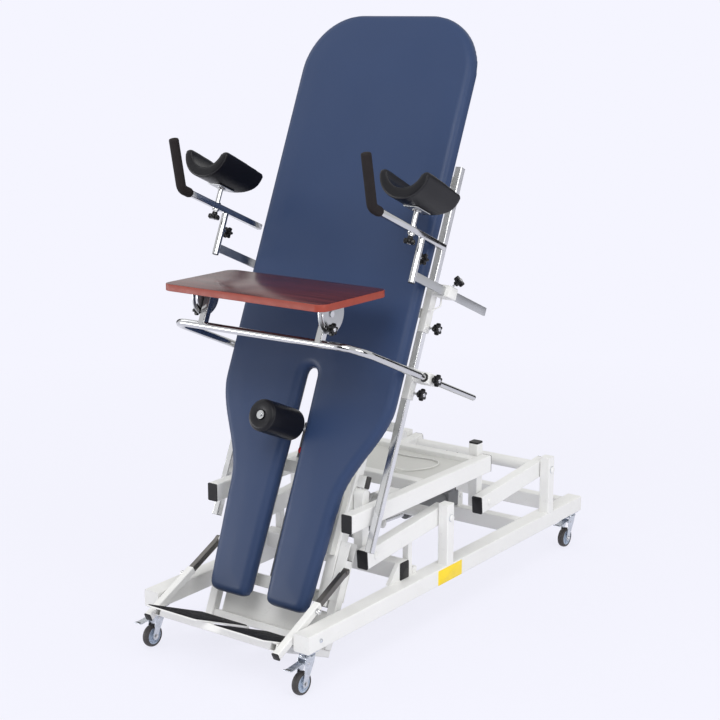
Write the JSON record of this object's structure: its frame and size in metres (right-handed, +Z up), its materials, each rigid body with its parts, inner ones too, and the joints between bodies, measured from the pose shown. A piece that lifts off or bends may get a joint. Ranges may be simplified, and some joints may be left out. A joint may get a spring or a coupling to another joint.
{
  "type": "physiotherapy tilt table",
  "caption": "Tilting treatment table on a parallelogram lift base, with a padded top split for the legs, footplates, tray, armrests and knee roll.",
  "frame": {"origin": "on the floor, in the middle of the object's length and width", "axes": "+X across the table, to the right in the picture, +Y towards the head end, +Z up"},
  "size_m": [0.924, 1.8046, 2.0015],
  "materials": {
    "white_paint": "satin white powder coat",
    "chrome": "polished",
    "zinc": "bright zinc plate",
    "black_plastic": "fine moulded grain",
    "rubber": "matt",
    "navy_vinyl": "smooth upholstery vinyl",
    "black_vinyl": "upholstery vinyl",
    "tray_laminate": "laminate with an orange edge band",
    "tyre": "grey non-marking",
    "red_plastic": "moulded",
    "grey_cable": "smooth",
    "white_board": "painted board",
    "grey_motor": "satin"
  },
  "bodies": {
    "base": {"base_rails": "white_paint", "base_uprights": "white_paint", "caster_plates": "zinc"},
    "caster_fl": {"caster_fork_fl": "zinc"},
    "wheel_fl": {"caster_wheel_fl": "tyre"},
    "pedal_fl": {"caster_pedal_fl": "zinc"},
    "caster_fr": {"caster_fork_fr": "zinc"},
    "wheel_fr": {"caster_wheel_fr": "tyre"},
    "pedal_fr": {"caster_pedal_fr": "zinc"},
    "caster_rl": {"caster_fork_rl": "zinc"},
    "wheel_rl": {"caster_wheel_rl": "tyre"},
    "pedal_rl": {"caster_pedal_rl": "zinc"},
    "caster_rr": {"caster_fork_rr": "zinc"},
    "wheel_rr": {"caster_wheel_rr": "tyre"},
    "pedal_rr": {"caster_pedal_rr": "zinc"},
    "front_arms": {"front_arms": "white_paint"},
    "rear_arms": {"rear_arms": "white_paint"},
    "lift_frame": {"lift_frame": "white_paint", "lift_frame_caps": "black_plastic", "equipment_plate": "zinc", "actuator_cable": "grey_cable"},
    "lift_motor": {"lift_motor": "grey_motor"},
    "lift_rod": {"lift_rod": "chrome"},
    "tilt_motor": {"tilt_motor": "grey_motor"},
    "tilt_rod": {"tilt_rod": "chrome"},
    "table": {"table_frame": "white_paint", "backing_board": "white_board", "pad": "navy_vinyl", "side_rails": "chrome", "index_rail": "white_paint"},
    "knee_carriage": {"knee_carriage": "chrome"},
    "knee_roll": {"knee_roll": "black_vinyl"},
    "index_plunger": {"index_plunger": "red_plastic"},
    "foot_frame": {"foot_frame": "white_paint", "brace_sleeves": "white_paint", "brace_rods": "chrome"},
    "footplate_left": {"footplate_left": "white_paint"},
    "footplate_right": {"footplate_right": "white_paint"},
    "tray_clamps": {"tray_clamps": "white_paint"},
    "tray_bar": {"tray_bar": "chrome"},
    "tray": {"tray_board": "tray_laminate", "tray_sectors": "chrome"},
    "tray_bar_knobs": {"tray_bar_knobs": "black_plastic"},
    "tray_tilt_knobs": {"tray_tilt_knobs": "black_plastic"},
    "armrest_clamp_left": {"armrest_clamp_left": "white_paint"},
    "armrest_bar_left": {"armrest_bar_left": "zinc"},
    "forearm_left": {"forearm_bar_left": "chrome", "hand_grip_left": "rubber"},
    "arm_gutter_left": {"arm_gutter_left": "black_vinyl"},
    "clamp_knob_left": {"clamp_knob_left": "black_plastic"},
    "post_knob_left": {"post_knob_left": "black_plastic"},
    "gutter_knob_left": {"gutter_knob_left": "black_plastic"},
    "armrest_clamp_right": {"armrest_clamp_right": "white_paint"},
    "armrest_bar_right": {"armrest_bar_right": "zinc"},
    "forearm_right": {"forearm_bar_right": "chrome", "hand_grip_right": "rubber"},
    "arm_gutter_right": {"arm_gutter_right": "black_vinyl"},
    "clamp_knob_right": {"clamp_knob_right": "black_plastic"},
    "post_knob_right": {"post_knob_right": "black_plastic"},
    "gutter_knob_right": {"gutter_knob_right": "black_plastic"}
  },
  "joints": [
    {"name": "swivel_fl", "type": "hinge", "parent": "base", "child": "caster_fl", "pos_m": [-0.309, -0.77473, 0.1], "axis": [0, 0, 1], "range_deg": [-180, 0]},
    {"name": "roll_fl", "type": "hinge", "parent": "caster_fl", "child": "wheel_fl", "pos_m": [-0.309, -0.80473, 0.0375], "axis": [1, 0, 0], "continuous": true},
    {"name": "brake_fl", "type": "hinge", "parent": "caster_fl", "child": "pedal_fl", "pos_m": [-0.309, -0.78873, 0.098], "axis": [1, 0, 0], "range_deg": [0, 6]},
    {"name": "swivel_fr", "type": "hinge", "parent": "base", "child": "caster_fr", "pos_m": [0.309, -0.77473, 0.1], "axis": [0, 0, 1], "range_deg": [0, 180]},
    {"name": "roll_fr", "type": "hinge", "parent": "caster_fr", "child": "wheel_fr", "pos_m": [0.309, -0.80473, 0.0375], "axis": [1, 0, 0], "continuous": true},
    {"name": "brake_fr", "type": "hinge", "parent": "caster_fr", "child": "pedal_fr", "pos_m": [0.309, -0.78873, 0.098], "axis": [1, 0, 0], "range_deg": [0, 6]},
    {"name": "swivel_rl", "type": "hinge", "parent": "base", "child": "caster_rl", "pos_m": [-0.309, 0.86226, 0.1], "axis": [0, 0, 1], "continuous": true},
    {"name": "roll_rl", "type": "hinge", "parent": "caster_rl", "child": "wheel_rl", "pos_m": [-0.309, 0.83227, 0.0375], "axis": [1, 0, 0], "continuous": true},
    {"name": "brake_rl", "type": "hinge", "parent": "caster_rl", "child": "pedal_rl", "pos_m": [-0.309, 0.84827, 0.098], "axis": [1, 0, 0], "range_deg": [0, 6]},
    {"name": "swivel_rr", "type": "hinge", "parent": "base", "child": "caster_rr", "pos_m": [0.309, 0.86226, 0.1], "axis": [0, 0, 1], "continuous": true},
    {"name": "roll_rr", "type": "hinge", "parent": "caster_rr", "child": "wheel_rr", "pos_m": [0.309, 0.83227, 0.0375], "axis": [1, 0, 0], "continuous": true},
    {"name": "brake_rr", "type": "hinge", "parent": "caster_rr", "child": "pedal_rr", "pos_m": [0.309, 0.84827, 0.098], "axis": [1, 0, 0], "range_deg": [0, 6]},
    {"name": "lift", "type": "hinge", "parent": "base", "child": "front_arms", "pos_m": [0, -0.02574, 0.355], "axis": [-1, 0, 0], "range_deg": [0, 50]},
    {"name": "level", "type": "hinge", "parent": "front_arms", "child": "lift_frame", "pos_m": [0, -0.39974, 0.322], "axis": [-1, 0, 0], "range_deg": [-50, 0]},
    {"name": "rear_lift", "type": "hinge", "parent": "base", "child": "rear_arms", "pos_m": [0, 0.66126, 0.355], "axis": [-1, 0, 0], "range_deg": [0, 50]},
    {"name": "lift_motor_pivot", "type": "hinge", "parent": "base", "child": "lift_motor", "pos_m": [0, 0.52926, 0.23], "axis": [1, 0, 0], "range_deg": [-4, 4]},
    {"name": "lift_stroke", "type": "slide", "parent": "lift_motor", "child": "lift_rod", "axis": [0, -0.9988, 0.0499], "range_m": [-0.002, 0.1]},
    {"name": "tilt", "type": "hinge", "parent": "lift_frame", "child": "table", "pos_m": [0, -0.39974, 0.515], "axis": [1, 0, 0], "range_deg": [-66.8, 0.5]},
    {"name": "tilt_motor_pivot", "type": "hinge", "parent": "lift_frame", "child": "tilt_motor", "pos_m": [0, -0.16073, 0.272], "axis": [1, 0, 0], "range_deg": [-20, 20]},
    {"name": "tilt_stroke", "type": "slide", "parent": "tilt_motor", "child": "tilt_rod", "axis": [0, -0.4882, 0.8727], "range_m": [-0.0836, 0.0026]},
    {"name": "knee_height", "type": "slide", "parent": "table", "child": "knee_carriage", "axis": [0, 0.3939, 0.9191], "range_m": [-0.275, 0.055]},
    {"name": "knee_roll_turn", "type": "hinge", "parent": "knee_carriage", "child": "knee_roll", "pos_m": [0, -0.49479, 0.73743], "axis": [0, -0.9191, 0.3939], "continuous": true},
    {"name": "index_pull", "type": "slide", "parent": "knee_carriage", "child": "index_plunger", "axis": [0, -0.9191, 0.3939], "range_m": [0, 0.008], "stiffness_N_per_m": 300},
    {"name": "footrest_height", "type": "slide", "parent": "table", "child": "foot_frame", "axis": [0, 0.3939, 0.9191], "range_m": [-0.015, 0.02]},
    {"name": "footplate_left_fold", "type": "hinge", "parent": "foot_frame", "child": "footplate_left", "pos_m": [0, -0.63754, 0.06423], "axis": [-1, 0, 0], "range_deg": [0, 35]},
    {"name": "footplate_right_fold", "type": "hinge", "parent": "foot_frame", "child": "footplate_right", "pos_m": [0, -0.63754, 0.06423], "axis": [-1, 0, 0], "range_deg": [0, 35]},
    {"name": "tray_height", "type": "slide", "parent": "table", "child": "tray_clamps", "axis": [0, 0.3939, 0.9191], "range_m": [-0.11, 0.08]},
    {"name": "tray_reach", "type": "slide", "parent": "tray_clamps", "child": "tray_bar", "axis": [0, -0.9191, 0.3939], "range_m": [0, 0.25]},
    {"name": "tray_tilt", "type": "hinge", "parent": "tray_bar", "child": "tray", "pos_m": [0, -0.57304, 1.13109], "axis": [1, 0, 0], "range_deg": [-20, 70]},
    {"name": "tray_bar_knobs_turn", "type": "hinge", "parent": "tray_clamps", "child": "tray_bar_knobs", "pos_m": [0, -0.22765, 0.8797], "axis": [1, 0, 0], "continuous": true},
    {"name": "tray_tilt_knobs_turn", "type": "hinge", "parent": "tray_bar", "child": "tray_tilt_knobs", "pos_m": [0, -0.59117, 1.08881], "axis": [1, 0, 0], "continuous": true},
    {"name": "armrest_height_left", "type": "slide", "parent": "table", "child": "armrest_clamp_left", "axis": [0, 0.3939, 0.9191], "range_m": [-0.02, 0.2]},
    {"name": "armrest_reach_left", "type": "slide", "parent": "armrest_clamp_left", "child": "armrest_bar_left", "axis": [0, -0.9191, 0.3939], "range_m": [-0.06, 0.04]},
    {"name": "forearm_turn_left", "type": "hinge", "parent": "armrest_bar_left", "child": "forearm_left", "pos_m": [-0.372, -0.3443, 1.33225], "axis": [0, 0.3939, 0.9191], "range_deg": [-5, 20]},
    {"name": "gutter_turn_left", "type": "hinge", "parent": "forearm_left", "child": "arm_gutter_left", "pos_m": [-0.372, -0.36452, 1.41707], "axis": [0, 0.3939, 0.9191], "range_deg": [-15, 15]},
    {"name": "clamp_knob_turn_left", "type": "hinge", "parent": "armrest_clamp_left", "child": "clamp_knob_left", "pos_m": [-0.386, -0.10631, 1.16279], "axis": [-0.7071, 0.2786, 0.6499], "continuous": true},
    {"name": "post_knob_turn_left", "type": "hinge", "parent": "armrest_bar_left", "child": "post_knob_left", "pos_m": [-0.372, -0.33577, 1.30139], "axis": [0, -0.9191, 0.3939], "continuous": true},
    {"name": "gutter_knob_turn_left", "type": "hinge", "parent": "arm_gutter_left", "child": "gutter_knob_left", "pos_m": [-0.372, -0.38619, 1.36652], "axis": [0, 0.3939, 0.9191], "continuous": true},
    {"name": "armrest_height_right", "type": "slide", "parent": "table", "child": "armrest_clamp_right", "axis": [0, 0.3939, 0.9191], "range_m": [-0.02, 0.2]},
    {"name": "armrest_reach_right", "type": "slide", "parent": "armrest_clamp_right", "child": "armrest_bar_right", "axis": [0, -0.9191, 0.3939], "range_m": [0, 0.1]},
    {"name": "forearm_turn_right", "type": "hinge", "parent": "armrest_bar_right", "child": "forearm_right", "pos_m": [0.372, -0.27996, 1.30467], "axis": [0, 0.3939, 0.9191], "range_deg": [-20, 5]},
    {"name": "gutter_turn_right", "type": "hinge", "parent": "forearm_right", "child": "arm_gutter_right", "pos_m": [0.372, -0.30937, 1.39344], "axis": [0, 0.3939, 0.9191], "range_deg": [-15, 15]},
    {"name": "clamp_knob_turn_right", "type": "hinge", "parent": "armrest_clamp_right", "child": "clamp_knob_right", "pos_m": [0.386, -0.10631, 1.16279], "axis": [0.7071, 0.2786, 0.6499], "continuous": true},
    {"name": "post_knob_turn_right", "type": "hinge", "parent": "armrest_bar_right", "child": "post_knob_right", "pos_m": [0.372, -0.27143, 1.27382], "axis": [0, -0.9191, 0.3939], "continuous": true},
    {"name": "gutter_knob_turn_right", "type": "hinge", "parent": "arm_gutter_right", "child": "gutter_knob_right", "pos_m": [0.372, -0.33104, 1.34289], "axis": [0, 0.3939, 0.9191], "continuous": true}
  ],
  "couplings": [
    {"joint": "level", "follows": "lift", "ratio": -1},
    {"joint": "rear_lift", "follows": "lift", "ratio": 1},
    {"joint": "lift_motor_pivot", "follows": "lift", "ratio": 0.021534},
    {"joint": "lift_stroke", "follows": "lift", "m_per_rad": 0.10991},
    {"joint": "tilt_motor_pivot", "follows": "tilt", "ratio": -0.16662},
    {"joint": "tilt_stroke", "follows": "tilt", "m_per_rad": 0.069987}
  ]
}
